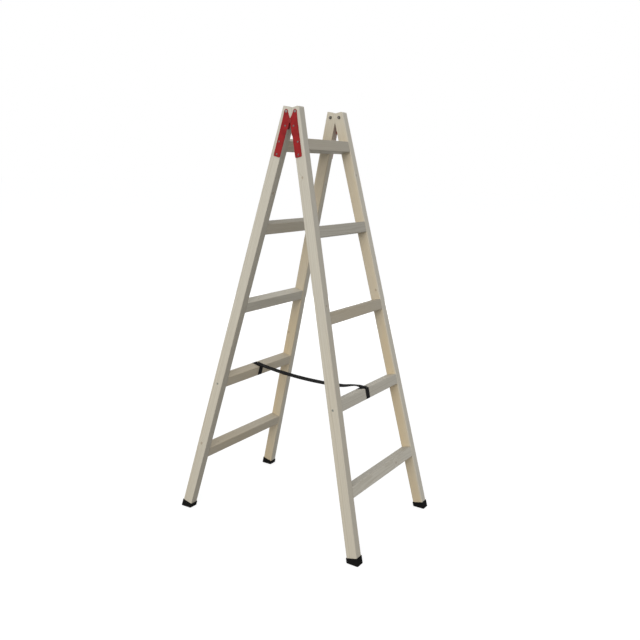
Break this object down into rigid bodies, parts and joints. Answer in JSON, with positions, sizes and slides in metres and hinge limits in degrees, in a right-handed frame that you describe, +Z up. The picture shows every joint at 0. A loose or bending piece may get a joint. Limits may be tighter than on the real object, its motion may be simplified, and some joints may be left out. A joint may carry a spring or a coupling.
{
  "type": "folding wooden ladder",
  "caption": "Free-standing wooden ladder of two rung frames hinged together at the top by painted steel plates, with a webbing strap that stops them spreading and moulded feet.",
  "frame": {"origin": "on the floor, midway between the four feet", "axes": "+X along the rungs, +Y from the front frame to the rear frame, +Z up"},
  "size_m": [0.5336, 0.7508, 1.4279],
  "materials": {
    "pine": "planed softwood, unvarnished",
    "hinge_paint": "red paint on pressed steel",
    "rivet_paint": "red paint, worn on the head",
    "zinc_steel": "bright zinc plate",
    "dark_screw": "dark phosphate",
    "foot_plastic": "black moulded plastic",
    "webbing": "black woven webbing"
  },
  "bodies": {
    "front_frame": {"front_foot_left": "foot_plastic", "front_foot_right": "foot_plastic", "front_hinge_bolts": "zinc_steel", "front_hinge_nuts": "zinc_steel", "front_hinge_plate_left": "hinge_paint", "front_hinge_plate_right": "hinge_paint", "front_hinge_screws": "zinc_steel", "front_hinge_washers": "zinc_steel", "front_rung_1": "pine", "front_rung_2": "pine", "front_rung_3": "pine", "front_rung_4": "pine", "front_rung_5": "pine", "front_rung_screws": "dark_screw", "front_stile_left": "pine", "front_stile_right": "pine", "hinge_rivets": "rivet_paint", "strap_loop_front": "webbing", "strap_span": "webbing"},
    "rear_frame": {"rear_foot_left": "foot_plastic", "rear_foot_right": "foot_plastic", "rear_hinge_bolts": "zinc_steel", "rear_hinge_nuts": "zinc_steel", "rear_hinge_plate_left": "hinge_paint", "rear_hinge_plate_right": "hinge_paint", "rear_hinge_screws": "zinc_steel", "rear_hinge_washers": "zinc_steel", "rear_rung_1": "pine", "rear_rung_2": "pine", "rear_rung_3": "pine", "rear_rung_4": "pine", "rear_rung_5": "pine", "rear_rung_screws": "dark_screw", "rear_stile_left": "pine", "rear_stile_right": "pine", "strap_loop_rear": "webbing"}
  },
  "joints": [
    {"name": "fold", "type": "hinge", "parent": "front_frame", "child": "rear_frame", "pos_m": [0, 0, 1.382], "axis": [-1, 0, 0], "range_deg": [0, 26.9], "deforming": ["strap_span"]}
  ]
}
